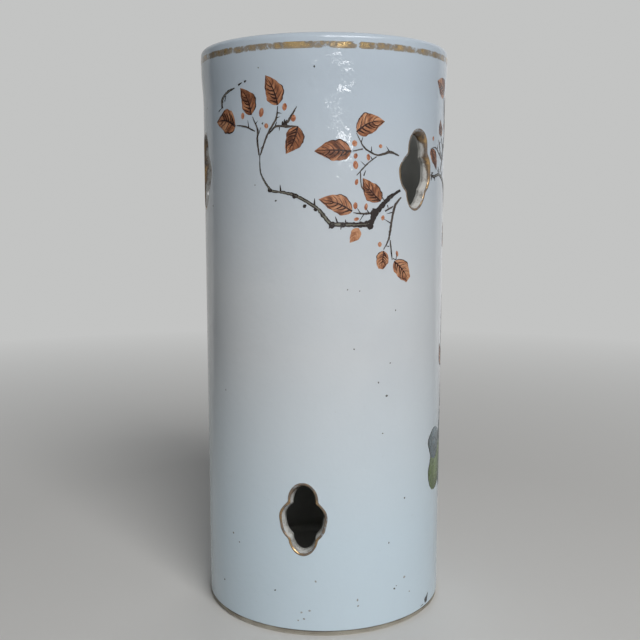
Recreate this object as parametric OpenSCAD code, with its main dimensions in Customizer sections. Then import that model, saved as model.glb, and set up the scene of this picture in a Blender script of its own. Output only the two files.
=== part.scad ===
// Porcelain hat stand: an open tube on a luted floor and an unglazed foot ring, pierced by two staggered
// rows of four-lobed vents, with gilt edges and an enamelled spray of autumn leaves.
// Millimetres, +Z up, origin at the centre of the foot, one lower vent facing -Y.

/* [Tube] */
// Outside diameter of the straight wall
body_d = 121; // [110:1:140]
// Overall height, from the foot to the top of the lip
body_h = 279; // [265:1:320]
// Thickness of the wall
wall_t = 4.5; // [3.5:0.1:6]

/* [Rim] */
// How far the rim stands out past the straight wall
rim_flare = 0.9; // [0.3:0.1:2]
// Height over which the wall opens out to the rim
flare_h = 18; // [8:1:26]
// Upright stretch of the rim, from the end of the flare to the top of the lip
rim_h = 9; // [9:0.5:14]

/* [Foot and floor] */
// Height of the unglazed foot ring
foot_h = 2.5; // [1.5:0.1:4]
// Width of the foot ring, from its outside to its inside
foot_w = 10; // [8:0.5:14]
// How far the foot ring is set in from the face of the wall
foot_inset = 0.3; // [0.1:0.1:0.8]
// Chamfer round the foot ring's lower edges
foot_chamfer = 0.8; // [0.3:0.1:1.2]
// Thickness of the floor disc
floor_t = 7; // [5:0.5:12]
// Depth of the seat that is cut into the wall for the floor and its fillet
seat_depth = 1; // [0.6:0.1:1.5]
// Slip-filled gap between the floor disc and its seat
lute_gap = 0.3; // [0.2:0.05:0.5]
// Radius of the slip fillet between floor and wall
fillet_r = 3; // [1.5:0.5:6]
// Straight edge at the top of the fillet, where its slip runs out level with the wall
slip_edge = 0.5; // [0.3:0.1:1]

/* [Vents] */
// Vents in each row
vents_per_row = 3; // [3:1:4]
// Width of a vent on the outside of the wall
vent_w = 21.2; // [19:0.2:24]
// Height of a lower vent
lower_vent_h = 33.6; // [30:0.2:38]
// Height of an upper vent
upper_vent_h = 35.8; // [32:0.2:40]
// Radius of the two side lobes
side_lobe_r = 10.4; // [9.5:0.1:10.6]
// Radius of the lobes at the top and bottom
end_lobe_r = 6.2; // [5.4:0.1:7.2]
// How much a vent narrows towards the inside, on each side
vent_taper = 1.6; // [0.5:0.1:2.4]
// Height of the lower row's centres above the foot
lower_row_z = 57.5; // [40:0.5:90]
// Distance from the top of the lip down to the upper row's centres
upper_row_drop = 59; // [50:0.5:90]
// Turn of the upper row against the lower one, in degrees
row_turn = 55; // [50:1:60]

/* [Gilding] */
// Thickness of the gilding
gilt_t = 0.15; // [0.05:0.05:0.3]
// Width of the band round the rim
rim_gilt_w = 3; // [2:0.2:3.5]
// Distance from the top of the lip down to the band
rim_gilt_drop = 4.2; // [4:0.1:5.4]
// Width of the line round each vent
vent_gilt_w = 1; // [0.6:0.1:2]

/* [Enamel] */
// Thickness of the enamel
enamel_t = 0.15; // [0.05:0.05:0.3]
// Width of the main branch where it is thickest
branch_w = 2.6; // [1.6:0.1:3]
// Width of the finest twigs
twig_w = 0.6; // [0.4:0.1:1]

/* [Hidden] */
$fn = 96;

body_r = body_d / 2;
bore_r = body_r - wall_t;
rim_r = body_r + rim_flare;
lip_r = (rim_r - bore_r) / 2;
lip_z = body_h - lip_r;
rim_z = body_h - rim_h;
flare_z = rim_z - flare_h;
floor_top = foot_h + floor_t;
fillet_top = floor_top + fillet_r;
slip_top = fillet_top + slip_edge;
seat_r = bore_r + seat_depth;
floor_r = seat_r - lute_gap;
foot_r = body_r - foot_inset;
rim_gilt_z = body_h - rim_gilt_drop - rim_gilt_w;
upper_row_z = body_h - upper_row_drop;

// A vent is cut by cones that run past both faces of the wall by this much
cut_past = 2;
taper_per_mm = vent_taper / wall_t;
// The waist circles stay this much inside the vent's outline at the face of the wall
waist_clear = 0.2;
// The waist narrows towards the inside by this share of the lobes' taper
waist_taper = 0.4;
vent_step = 360 / vents_per_row;

// A painted outline is cut through the wall's face by a prism that reaches this far each way
skin_reach = 4;
outline_steps = 14;
ribbon_step = 2.5;
// The ribbons of the branch are flat between stations, so they start this much above the wall
ribbon_lift = 0.03;

// Painted places are [across, up]: millimetres round the wall, to the right, and upwards. The spray is
// measured from the centre of the first upper vent, and the rocks from that of the second lower vent.

// Between these two heights of the spray runs the bare trunk, which stretches with the space there is
trunk_from = -50;
trunk_to = -120;
// Height of the trunk's foot, on the rocks, above the lower row's centres
trunk_foot = 42.5;
trunk_stretch = (upper_row_z + trunk_from - lower_row_z - trunk_foot) / (trunk_from - trunk_to);

// Leaves: stalk end, tip, width
LEAVES = [
    [[-92.5, 20], [-108, 22], 10.5],
    [[-82.5, 24], [-89, 36.5], 9],
    [[-69.5, 28], [-75, 41.5], 9],
    [[-60, 18.5], [-65.5, 6.5], 8.5],
    [[-36, 7.5], [-52.5, 7.5], 9.5],
    [[-34, 16], [-20, 21.5], 9.5],
    [[-22, -14.5], [-31, -4.5], 8],
    [[-35.5, -19.5], [-50.5, -13.5], 8.5],
    [[-32.5, -26.5], [-36.5, -33], 5],
    [[-20.5, -37], [-23.5, -45], 6.5],
    [[-15, -42], [-3, -50], 8],
    [[11.5, 10], [18.5, 0.5], 6],
    [[28, 17.5], [18.5, 23], 7],
    [[31, 37], [17, 42], 9],
    [[41, 27], [45, 40], 9],
    [[54, 18], [67, 24], 9.5],
    [[60, 6], [76, 7], 9.5],
    [[50, -14], [64, -20], 9],
    [[41, -25], [35, -37], 8.5],
    [[70, -6], [84, -11], 9],
    [[37, -97], [30, -85.5], 7.5],
];

// Twigs and branches: [across, up, width] along each line
BRANCHES = [
    [[-11, -9.5, 1.2], [-16.5, -12.5, 2.2], [-21.5, -17, branch_w], [-25, -21, branch_w],
     [-27.5, -24.5, branch_w], [-36, -25, 2], [-45, -24.5, 2], [-48, -21.5, 1.8], [-51.5, -17.5, 1.6],
     [-61, -12, 1.6], [-67.5, -10.5, 1.2], [-73, -9.5, 1.4], [-78, -2, 1], [-78.5, 6, 0.8]],
    [[-79, 6.8, 0.7], [-79.7, 13, 0.9], [-79.5, 17.5, 0.9], [-82.3, 23.3, twig_w]],
    [[-78, 6.8, 0.7], [-74.5, 15, 0.9], [-70, 22, 0.9], [-69.3, 27.3, 0.8]],
    [[-81, 16.8, twig_w], [-86, 19, 0.7], [-91.8, 19.9, 0.7]],
    [[-73.6, 15.5, 0.7], [-70.2, 18.6, 0.9], [-65, 18.5, 1.2], [-60.6, 18.4, 0.8]],
    [[-64.8, 20, 1.2], [-60.4, 27, twig_w]],
    [[-102.6, 28.5, 1.4], [-102.4, 32, 1.4], [-98, 35.5, 0.9], [-93.5, 36.8, 0.9]],
    [[-12, 6, 0.7], [-17, 7.5, 1.3], [-23.5, 6, 0.8], [-29.8, 9, 0.7], [-33.7, 15.6, twig_w]],
    [[-30.6, 8.6, twig_w], [-35.4, 7.6, twig_w]],
    [[-24, 5.3, twig_w], [-28, 2.5, twig_w], [-33.5, -3, twig_w]],
    [[-30.8, -1.6, twig_w], [-31.5, -4.1, twig_w]],
    [[-10.5, -12.7, 1], [-14, -16.5, 1.2], [-15.8, -23.5, 1.1], [-17.3, -31.5, 1], [-20, -36.4, 0.8]],
    [[-16.5, -32.2, 0.7], [-15.3, -41.3, 0.7]],
    [[-22.7, -19.4, 0.9], [-30, -20.1, 0.9], [-35, -19.6, twig_w]],
    [[-19.4, -19, 0.8], [-15, -16.8, 0.8]],
    [[13.2, -2, 1.6], [23, -1, 1.8], [35, -7, 2.4], [45, -24, branch_w], [46, trunk_from, branch_w],
     [40, -75, branch_w], [43, -100, branch_w], [39, trunk_to, branch_w]],
    [[24.5, -0.4, 0.9], [30, 8, 1], [36, 18, 0.9], [40.6, 26.4, 0.7]],
    [[36, 18.8, 0.7], [33, 29, 0.7], [31.2, 36.3, twig_w]],
    [[31.2, 9.3, 0.7], [28.6, 16.9, twig_w]],
    [[37.8, -8.5, 1.4], [50, -1, 1.2], [59.4, 5.9, 0.8]],
    [[49.5, -0.4, 0.8], [51.5, 10, 0.8], [53.6, 17.5, twig_w]],
    [[51.6, -1, 0.8], [61, -3.5, 0.8], [69.5, -5.8, twig_w]],
    [[46, -22.4, 0.8], [49.5, -14.8, twig_w]],
    [[43.5, -25.5, 0.7], [41.5, -25.1, twig_w]],
    [[40.2, -98.2, 0.8], [37.5, -97.3, twig_w]],
];

// Buds: middle, width, height
BUDS = [
    [[-88, 24], 2, 3], [[-77.5, 25], 2.4, 4.2], [[-75, 19], 2, 2.4], [[-66, 27], 2.2, 3.4],
    [[-62, 22], 2.4, 3.2], [[-34.5, 11], 2.4, 2.8], [[-34, 5.5], 1.8, 2.6], [[-28, 5], 1.8, 3],
    [[-34, 1.5], 2.4, 3.8], [[-33.5, -6], 1.6, 2.8], [[-22, 10], 1.8, 1.8], [[-34, -16.5], 2, 3.2],
    [[-29, -17], 1.6, 3.2], [[-33.5, -22.5], 2.4, 1.6], [[-20.5, -22], 1.8, 2.4],
    [[-22, -34], 2, 2.4], [[-12.5, -38.5], 1.4, 2.8], [[14, 15], 1.8, 2.2], [[33.5, 22], 2, 3.2],
    [[46, 12], 2.2, 3.4], [[56, 1], 2.2, 3], [[65, -9], 2, 3.2],
];

// Rocks at the foot of the tree: lower end, upper end, width, colour
ROCKS = [
    [[-48, 3], [-45.5, 20.8], 17, "olivedrab"],
    [[-47, 21.4], [-46.5, 36.4], 17, "slategray"],
    [[-31, 2.5], [-31.5, 43.5], 13, "slategray"],
    [[-17.5, 0.5], [-16.5, 24.5], 13, "olivedrab"],
];

function turn_of(arc) = arc / body_r * 180 / PI;

function lower_turn(i) = (i - 1) * vent_step;

function upper_turn(i) = row_turn + (i - 1) * vent_step;

function arc_of(turn) = turn * PI / 180 * body_r;

// Height of a place of the spray above the upper row's centres
function spray_up(up) = max(up, trunk_from) + min(up - trunk_from, 0) * trunk_stretch;

// Places on the wall as [arc from the front, height]
function spray_at(place) = [arc_of(upper_turn(1)) + place[0], upper_row_z + spray_up(place[1])];

function rock_at(place) = [arc_of(lower_turn(2)) + place[0], lower_row_z + place[1]];

// Radius of the wall's face at a height
function face_r(z) = body_r + rim_flare * min(max((z - flare_z) / flare_h, 0), 1);

// A point of the wall's face, raised by lift
function on_face(arc, z, lift) =
    let (a = turn_of(arc), r = face_r(z) + lift) [r * sin(a), -r * cos(a), z];

// Places children drawn in the XY plane on the wall's face, with their Z axis pointing out of it
module at_face(turn, z) {
    rotate([0, 0, turn]) translate([0, -body_r, z]) rotate([90, 0, 0]) children();
}

// The corner between a side lobe and an end lobe, where their circles cross
function cusp(h) =
    let (side = vent_w / 2 - side_lobe_r, end = h / 2 - end_lobe_r, d = norm([side, end]),
         along = (pow(side_lobe_r, 2) - pow(end_lobe_r, 2) + d * d) / (2 * d),
         across = sqrt(pow(side_lobe_r, 2) - along * along))
        [side - along * side / d + across * end / d, along * end / d + across * side / d];

// Centre, radius and share of the taper of each circle of a vent: two side lobes, two end lobes, and two
// circles between the corners that keep the waist open where the vent narrows through the wall
function circles(h) =
    let (side = vent_w / 2 - side_lobe_r, end = h / 2 - end_lobe_r, corner = cusp(h),
         waist_r = corner[0] - waist_clear) [
        [side, 0, side_lobe_r, 1], [-side, 0, side_lobe_r, 1],
        [0, end, end_lobe_r, 1], [0, -end, end_lobe_r, 1],
        [0, corner[1], waist_r, waist_taper], [0, -corner[1], waist_r, waist_taper]
    ];

// The tapered cut of one vent, from outside the wall to inside it
module vent_cut(turn, z, h) {
    depth = wall_t + cut_past;
    at_face(turn, z)
        for (c = circles(h))
            translate([c[0], c[1], -depth])
                cylinder(h = depth + cut_past, r1 = c[2] - taper_per_mm * c[3] * depth,
                         r2 = c[2] + taper_per_mm * c[3] * cut_past);
}

module vent_row(turns, z, h) {
    for (turn = turns) vent_cut(turn, z, h);
}

module lower_vents() {
    vent_row([for (i = [1:vents_per_row]) lower_turn(i)], lower_row_z, lower_vent_h);
}

module upper_vents() {
    vent_row([for (i = [1:vents_per_row]) upper_turn(i)], upper_row_z, upper_vent_h);
}

// The solid inside the wall's face, grown by lift
module inside_face(lift) {
    rotate_extrude() polygon([
        [0, 0], [body_r + lift, 0], [body_r + lift, flare_z], [rim_r + lift, rim_z], [0, rim_z]
    ]);
}

// A thin layer on the wall's face, cut to a flat outline that is drawn round a turn and height
module skin(thickness, turn, z) {
    difference() {
        intersection() {
            at_face(turn, z) translate([0, 0, -skin_reach]) linear_extrude(2 * skin_reach) children();
            inside_face(thickness);
        }
        inside_face(0);
    }
}

module wall_outline() {
    polygon([
        [seat_r, foot_h], [body_r, foot_h], [body_r, flare_z], [rim_r, rim_z], [rim_r, lip_z],
        [bore_r, lip_z], [bore_r, slip_top], [seat_r, slip_top]
    ]);
    translate([bore_r + lip_r, lip_z]) circle(r = lip_r);
}

module body_tube() {
    color("whitesmoke") difference() {
        rotate_extrude() wall_outline();
        lower_vents();
        upper_vents();
    }
}

module floor_disc() {
    color("gainsboro") translate([0, 0, foot_h]) cylinder(h = floor_t, r = floor_r);
}

module foot_ring() {
    inside_r = foot_r - foot_w;
    color("tan") rotate_extrude() polygon([
        [inside_r, foot_h], [inside_r, foot_chamfer], [inside_r + foot_chamfer, 0],
        [foot_r - foot_chamfer, 0], [foot_r, foot_chamfer], [foot_r, foot_h]
    ]);
}

module floor_lute() {
    color("lightgray") rotate_extrude() translate([floor_r, foot_h]) square([lute_gap, floor_t]);
}

module floor_fillet() {
    color("lightgray") rotate_extrude() difference() {
        translate([bore_r - fillet_r, floor_top])
            square([fillet_r + seat_depth, slip_top - floor_top]);
        translate([bore_r - fillet_r, fillet_top]) {
            circle(r = fillet_r);
            square([fillet_r, slip_edge]);
        }
    }
}

module rim_gilding() {
    color("goldenrod") rotate_extrude() translate([rim_r, rim_gilt_z]) square([gilt_t, rim_gilt_w]);
}

// The gilt line that follows one vent's outer edge
module vent_gilding(turn, z, h) {
    color("goldenrod") difference() {
        skin(gilt_t, turn, z)
            for (c = circles(h)) translate([c[0], c[1]]) circle(r = c[2] + vent_gilt_w);
        vent_cut(turn, z, h);
    }
}

module lower_vent_gilding(i) {
    vent_gilding(lower_turn(i), lower_row_z, lower_vent_h);
}

module upper_vent_gilding(i) {
    vent_gilding(upper_turn(i), upper_row_z, upper_vent_h);
}

// Half width of a leaf along its length, full near the stalk and drawn out to a point
function leaf_half(t, width) = width / 2 * pow(sin(180 * pow(t, 0.72)), 0.9);

module leaf_outline(length, width) {
    ts = [for (i = [0:outline_steps]) i / outline_steps];
    upper = [for (t = ts) [length * (t - 0.5), leaf_half(t, width)]];
    lower = [for (i = [outline_steps - 1:-1:1]) [length * (ts[i] - 0.5), -leaf_half(ts[i], width)]];
    polygon(concat(upper, lower));
}

module oval_outline(width, height) {
    polygon([for (i = [0:outline_steps - 1])
        let (a = 360 * i / outline_steps) [width / 2 * cos(a), height / 2 * sin(a)]]);
}

// Enamel cut to a flat outline that is drawn round a painted place
module enamel(place) {
    skin(enamel_t, turn_of(place[0]), place[1]) children();
}

// Enamel whose outline runs from one painted place to another
module enamel_between(from, to) {
    run = to - from;
    enamel((from + to) / 2) rotate(atan2(run[1], run[0])) children();
}

module leaf_enamel() {
    color("sienna") for (leaf = LEAVES)
        enamel_between(spray_at(leaf[0]), spray_at(leaf[1]))
            leaf_outline(norm(leaf[1] - leaf[0]), leaf[2]);
}

module bud_enamel() {
    color("chocolate") for (bud = BUDS)
        enamel(spray_at(bud[0])) oval_outline(bud[1], bud[2]);
}

module rock_enamel() {
    for (rock = ROCKS)
        color(rock[3]) enamel_between(rock_at(rock[0]), rock_at(rock[1]))
            oval_outline(norm(rock[1] - rock[0]), rock[2]);
}

// Stations along a painted line, at most ribbon_step apart
function stations(line) = concat(
    [for (i = [0:len(line) - 2])
        let (a = line[i], b = line[i + 1], n = ceil(norm(b - a) / ribbon_step))
            for (k = [0:n - 1]) a + (b - a) * k / n],
    [line[len(line) - 1]]
);

// The direction across a painted line at one station
function across(points, i) =
    let (a = points[max(i - 1, 0)], b = points[min(i + 1, len(points) - 1)],
         run = [b[0] - a[0], b[1] - a[1]])
        [-run[1], run[0]] / norm(run);

// One painted line as a thin ribbon laid on the wall
module ribbon(line) {
    points = stations([for (p = line) concat(spray_at(p), p[2])]);
    n = len(points);
    corners = [for (i = [0:n - 1])
        let (p = points[i], side = across(points, i) * p[2] / 2)
            for (c = [[1, ribbon_lift], [-1, ribbon_lift], [-1, enamel_t], [1, enamel_t]])
                on_face(p[0] + c[0] * side[0], p[1] + c[0] * side[1], c[1])];
    walls = [for (i = [0:n - 2]) for (k = [0:3])
        let (a = 4 * i + k, b = 4 * i + (k + 1) % 4)
            each [[a, b, b + 4], [a, b + 4, a + 4]]];
    last = 4 * (n - 1);
    ends = [[0, 2, 1], [0, 3, 2], [last, last + 1, last + 2], [last, last + 2, last + 3]];
    polyhedron(corners, concat(walls, ends));
}

module branch_enamel() {
    color("saddlebrown") for (line = BRANCHES) ribbon(line);
}

body_tube();
floor_disc();
foot_ring();
floor_lute();
floor_fillet();
rim_gilding();
for (i = [1:vents_per_row]) {
    lower_vent_gilding(i);
    upper_vent_gilding(i);
}
branch_enamel();
leaf_enamel();
bud_enamel();
rock_enamel();
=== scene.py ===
# Porcelain hat stand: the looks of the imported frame. Sizes are in millimetres until a mesh is made.
from math import asin, atan2, cos, exp, hypot, log, pi, radians, sin, sqrt

import bpy
from mathutils import Matrix, Vector, noise


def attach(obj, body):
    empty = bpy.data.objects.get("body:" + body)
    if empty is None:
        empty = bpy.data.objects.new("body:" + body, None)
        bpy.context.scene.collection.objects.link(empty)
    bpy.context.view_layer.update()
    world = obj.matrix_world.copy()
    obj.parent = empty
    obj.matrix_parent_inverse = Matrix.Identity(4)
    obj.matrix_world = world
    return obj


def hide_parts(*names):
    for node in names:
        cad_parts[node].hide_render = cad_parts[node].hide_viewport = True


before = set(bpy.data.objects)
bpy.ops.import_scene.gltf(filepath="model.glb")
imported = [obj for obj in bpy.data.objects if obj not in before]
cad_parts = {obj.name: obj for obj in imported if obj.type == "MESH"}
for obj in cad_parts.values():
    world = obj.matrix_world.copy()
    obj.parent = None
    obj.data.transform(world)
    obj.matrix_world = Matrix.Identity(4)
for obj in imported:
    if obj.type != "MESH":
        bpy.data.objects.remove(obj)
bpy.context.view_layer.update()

MM = 0.001

# Sizes of the stand
BODY_R = 60.5
BORE_R = 56.0
WALL_T = BODY_R - BORE_R
RIM_R = 61.4
LIP_R = (RIM_R - BORE_R) / 2
BODY_H = 279.0
LIP_Z = BODY_H - LIP_R
RIM_Z = 270.0
FLARE_Z = 252.0
FOOT_H = 2.5
SEAT_R = 57.0
SEAT_MID_Z = 8.0
SLIP_TOP = 13.0
RIM_GILT = (271.8, 274.8)

# Rounded lower edge of the glaze: distance in from the wall's face, height above the foot ring
FOOT_EDGE = [(0.9, 0.0), (0.5, 0.08), (0.2, 0.3), (0.05, 0.6), (0.0, 1.0)]

# Vents: three lobed openings in each of two rows, with turns in degrees from the front
VENT_W = 21.2
SIDE_LOBE_R = 10.4
END_LOBE_R = 6.2
WAIST_CLEAR = 0.2
WAIST_TAPER = 0.4
LOWER_Z = 57.5
UPPER_Z = 220.0
LOWER_H = 33.6
UPPER_H = 35.8
UPPER_TURN = 55
VENT_STEP = 120
VENT_ROWS = [("lower", 0, LOWER_Z, LOWER_H), ("upper", UPPER_TURN, UPPER_Z, UPPER_H)]
# Name of each vent's gilding, turn, height of the centre, overall height
VENTS = [(f"{row}_vent_gilding_{k + 1}", turn + VENT_STEP * k, z, height)
         for row, turn, z, height in VENT_ROWS for k in range(3)]

# What the knife did at each vent: drop of the side lobes, widening of the waists, lean to the right going up
VENT_CUTS = [(1.2, 0.1, 0.0), (0.5, 0.3, -0.02), (0.8, 0.1, 0.03), (1.7, 0.9, 0.065), (0.6, 0.5, -0.03),
             (1.0, 0.7, 0.02)]

# Painted places are (across, up) from the centre of the first upper vent, or of the second lower one
SPRAY_ARC = radians(UPPER_TURN) * BODY_R
ROCK_ARC = radians(VENT_STEP) * BODY_R

# Leaves: stalk end, tip, width, bend of the midrib, tone (0 pale to 1 dark), side with the strong veins
LEAVES = [
    ((-92.8, 19.5), (-107.6, 22.2), 11, -0.12, 0.6, -1),
    ((-83, 24.2), (-89.2, 36.4), 8.5, -0.1, 0.85, 1),
    ((-69.3, 27.9), (-75, 41), 9, -0.06, 0.6, 1),
    ((-60, 18.5), (-65.5, 6.5), 8.5, 0.08, 0.8, -1),
    ((-36, 7.5), (-52.5, 7.5), 9.5, -0.03, 0.58, 1),
    ((-33.6, 16), (-20, 21), 9.5, 0.12, 0.5, -1),
    ((-21.8, -14.5), (-30.6, -4.3), 8.2, 0.05, 0.65, 1),
    ((-35.5, -19), (-50.6, -13.7), 8.5, -0.07, 0.4, 1),
    ((-32.5, -26.5), (-36.5, -33), 5, 0.06, 0.35, 0),
    ((-20, -37), (-21.4, -45.2), 6.6, 0.02, 0.35, 1),
    ((-14.2, -42), (-5.4, -50.8), 8.4, 0.06, 0.28, -1),
    ((11.5, 10), (18.5, 0.5), 6, 0.08, 1.0, -1),
    ((25.6, 16.6), (23.8, 24.4), 6.5, 0.03, 1.0, 1),
    ((31, 37), (17, 42), 9, -0.05, 0.75, 1),
    ((41, 27), (45, 40), 9, 0.05, 0.6, -1),
    ((54, 18), (67, 24), 9.5, -0.05, 0.5, 1),
    ((60, 6), (76, 7), 9.5, 0.05, 0.45, -1),
    ((50, -14), (64, -20), 9, -0.05, 0.6, 1),
    ((41, -25), (35, -37), 8.5, 0.06, 0.5, -1),
    ((70, -6), (84, -11), 9, 0.05, 0.4, 1),
    ((37, -97), (30, -85.5), 7.5, 0.06, 0.7, -1),
]
# Leaves whose tips are painted blunt
BLUNT = (9, 10)

BRANCH_W = 2.6
TWIG_W = 0.6
# Twigs and branches: (across, up, width) along each line
BRANCHES = [
    [(-11, -9.5, 1.2), (-16.5, -12.5, 2.2), (-21.5, -17, BRANCH_W), (-25, -21, BRANCH_W),
     (-27.5, -24.5, BRANCH_W), (-36, -25, 2), (-45, -24.5, 2), (-48, -21.5, 1.8), (-51.5, -17.5, 1.6),
     (-61, -12, 1.6), (-67.5, -10.5, 1.2), (-73, -9.5, 1.4), (-78, -2, 1), (-78.5, 6, 0.8)],
    [(-78.8, 6.1, 0.7), (-79.7, 13, 0.9), (-79.5, 17.5, 0.9), (-82.3, 23.3, TWIG_W)],
    [(-78.2, 6.1, 0.7), (-74.5, 15, 0.9), (-70, 22, 0.9), (-69.3, 27.3, 0.8)],
    [(-81, 16.8, TWIG_W), (-86, 19, 0.7), (-91.8, 19.9, 0.7)],
    [(-73.6, 15.5, 0.7), (-70.2, 18.6, 0.9), (-65, 18.5, 1.2), (-60.6, 18.4, 0.8)],
    [(-64.8, 20, 1.2), (-60.4, 27, TWIG_W)],
    [(-102.6, 28.3, 1.4), (-102.6, 32, 1.5), (-99.6, 34.6, 1), (-96.4, 35.9, 1.2), (-93, 36.7, 1)],
    [(-12, 6, 0.7), (-17, 7.5, 1.3), (-23.5, 6, 0.8), (-29.8, 9, 0.7), (-33.7, 15.6, TWIG_W)],
    [(-30.6, 8.6, TWIG_W), (-35.4, 7.6, TWIG_W)],
    [(-24, 5.3, TWIG_W), (-28, 2.5, TWIG_W), (-33.5, -3, TWIG_W)],
    [(-31.8, -1.4, TWIG_W), (-31.6, -5, TWIG_W), (-31.2, -8, 0.5), (-29.8, -10.4, 0.4)],
    [(-10.5, -12.7, 1), (-14, -16.5, 1.2), (-15.8, -23.5, 1.1), (-17.3, -31.5, 1), (-20, -36.4, 0.8)],
    [(-16.5, -32.2, 0.7), (-15.3, -41.3, 0.7)],
    [(-22.7, -19.4, 0.9), (-30, -20.1, 0.9), (-35, -19.6, TWIG_W)],
    [(-19.4, -19, 0.8), (-15, -16.8, 0.8)],
    [(11.6, -2.2, 1.2), (15.5, -2.8, 1.6), (23, -1.6, 1.6), (35, -7, 2.4), (45, -24, BRANCH_W),
     (46, -50, BRANCH_W), (40, -75, BRANCH_W), (43, -100, BRANCH_W), (39, -120, BRANCH_W)],
    [(24.5, -0.4, 0.9), (30, 8, 1), (36, 18, 0.9), (40.6, 26.4, 0.7)],
    [(36, 18.8, 0.7), (33, 29, 0.7), (31.2, 36.3, TWIG_W)],
    [(31.2, 9.3, 0.8), (28.4, 13.4, 1), (25.9, 16.2, 0.7)],
    [(27.8, 4.8, 0.9), (24.6, 8.2, 0.8), (23, 12, 1.1), (21, 14.8, 0.7)],
    [(28.6, 5.6, 0.9), (23.8, 7.4, 1), (19.6, 9.8, 0.8), (16.3, 11, 0.5), (11.9, 10.3, 0.4)],
    [(37.8, -8.5, 1.4), (50, -1, 1.2), (59.4, 5.9, 0.8)],
    [(49.5, -0.4, 0.8), (51.5, 10, 0.8), (53.6, 17.5, TWIG_W)],
    [(51.6, -1, 0.8), (61, -3.5, 0.8), (69.5, -5.8, TWIG_W)],
    [(46, -22.4, 0.8), (49.5, -14.8, TWIG_W)],
    [(43.5, -25.5, 0.7), (41.5, -25.1, TWIG_W)],
    [(40.2, -98.2, 0.8), (37.5, -97.3, TWIG_W)],
]

# Thorns and bud spurs: foot, tip, width at the foot
THORNS = [
    ((-65.9, 18.5), (-66, 21.6), 1.6),
    ((-68, -10.4), (-68.3, -7.2), 0.9), ((-105.8, 27.2), (-102.8, 28.6), 0.4),
    ((-52.5, -16.6), (-52.4, -13.2), 1), ((-100.4, 31.4), (-100, 32.6), 0.7),
    ((-42, -24.6), (-43.2, -21.3), 0.9), ((-38.4, -24.8), (-38.6, -22.6), 0.9),
    ((-40.4, -25), (-40.7, -27.2), 0.9), ((-45.5, -25.2), (-46, -26.8), 0.8),
    ((-19.5, -14.8), (-21.8, -11.6), 0.6), ((-27.5, -20), (-29.2, -17.4), 0.6),
    ((-31.5, -20.1), (-33.4, -17.2), 0.5), ((-29.8, -20), (-32.2, -23.6), 0.5),
    ((-18.2, -16.2), (-17.6, -18), 0.6), ((-16.2, -24.5), (-20.2, -22.4), 0.5),
    ((-15.2, -19.5), (-18.6, -20.2), 0.5), ((-17, -35), (-18.6, -34.8), 0.5),
    ((-14.8, -40.6), (-12.9, -41.4), 0.5), ((-13.2, -41.4), (-12.6, -38.2), 0.5),
    ((-17.2, 7.4), (-19, 10), 0.6), ((-26.5, 7.6), (-26.6, 9.8), 0.5),
    ((-26.2, 4.2), (-27, 5.4), 0.5), ((-31.5, 11.4), (-30.6, 14), 0.5),
    ((-29.6, 1.4), (-31.6, 3.2), 0.4), ((-30.2, -3.2), (-29.2, -0.8), 0.6),
    ((-79.6, 14.2), (-77.8, 18.4), 0.5), ((-80.6, 20), (-79.4, 21.4), 0.4),
    ((-73.2, 16.4), (-71.6, 16.8), 0.4), ((-70, 22.2), (-68.2, 22.8), 0.5),
    ((-69.6, 24.6), (-67.4, 24.2), 0.5), ((-70.4, 18.8), (-69.8, 20.8), 0.6),
    ((-68.4, 18.2), (-68.6, 16.6), 0.5), ((-84.4, 18.4), (-85, 22), 0.5),
    ((-76.6, 10.2), (-78, 9), 0.4), ((-66.8, 18.6), (-67, 20.8), 1.6),
    ((-65.4, 18.6), (-65, 21.4), 1.4), ((-99.4, 33.8), (-100.4, 31.2), 0.5),
    ((-90.4, 37.8), (-88, 38.8), 0.9), ((-86.6, 38.9), (-85.4, 39.5), 1),
    ((-77.2, 19.8), (-76.6, 20.6), 0.7),
    ((19.6, 10.7), (20.2, 12.6), 0.6), ((22.4, 13), (24.4, 14.2), 0.8), ((29.4, 11.8), (31.8, 13.4), 0.7),
    ((24.2, 8.8), (22, 7.6), 0.7), ((28.8, 6.2), (26.8, 9.2), 0.6), ((32.6, 12.4), (35.2, 12), 0.8),
    ((12.6, -1.5), (14.4, -0.9), 1.2), ((20.4, -0.1), (22.6, 1), 0.9), ((27, -2.6), (29.4, 0.2), 0.8),
    ((12.6, -2.8), (12.4, -4.8), 0.9), ((16.3, -3), (16.5, -4.8), 0.8), ((30, -4), (34.1, -6.2), 0.8),
    ((22, -1), (21, 2), 0.8), ((28.5, 5.6), (31, 6.4), 0.5), ((41, -17), (44.6, -15.6), 0.8),
    ((45.6, -38), (42.6, -36), 0.9), ((45.8, -46), (49, -43.6), 0.9), ((42.6, -64), (39, -62), 0.9),
    ((41, -84), (44.6, -81.6), 0.9), ((42.6, -104), (46, -102), 0.9), ((41.4, -110), (38, -108), 0.8),
]

# Knots and swellings of the main branch: ends, width
KNOTS = [
    ((-62.6, -12.3), (-60, -12.1), 2.2), ((-56.9, -15.9), (-56.9, -17.5), 1.6),
    ((-51.7, -16.6), (-52, -19), 1.9), ((-46, -25.2), (-43.4, -25.3), 2.7),
    ((-40.8, -25), (-38.4, -25), 2.5), ((-28.4, -25.8), (-25.4, -25.2), 3.2),
    ((-26.2, -21.2), (-23.6, -18.2), 3.5), ((-74.4, -9.4), (-72.2, -9.7), 1.7),
]

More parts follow.
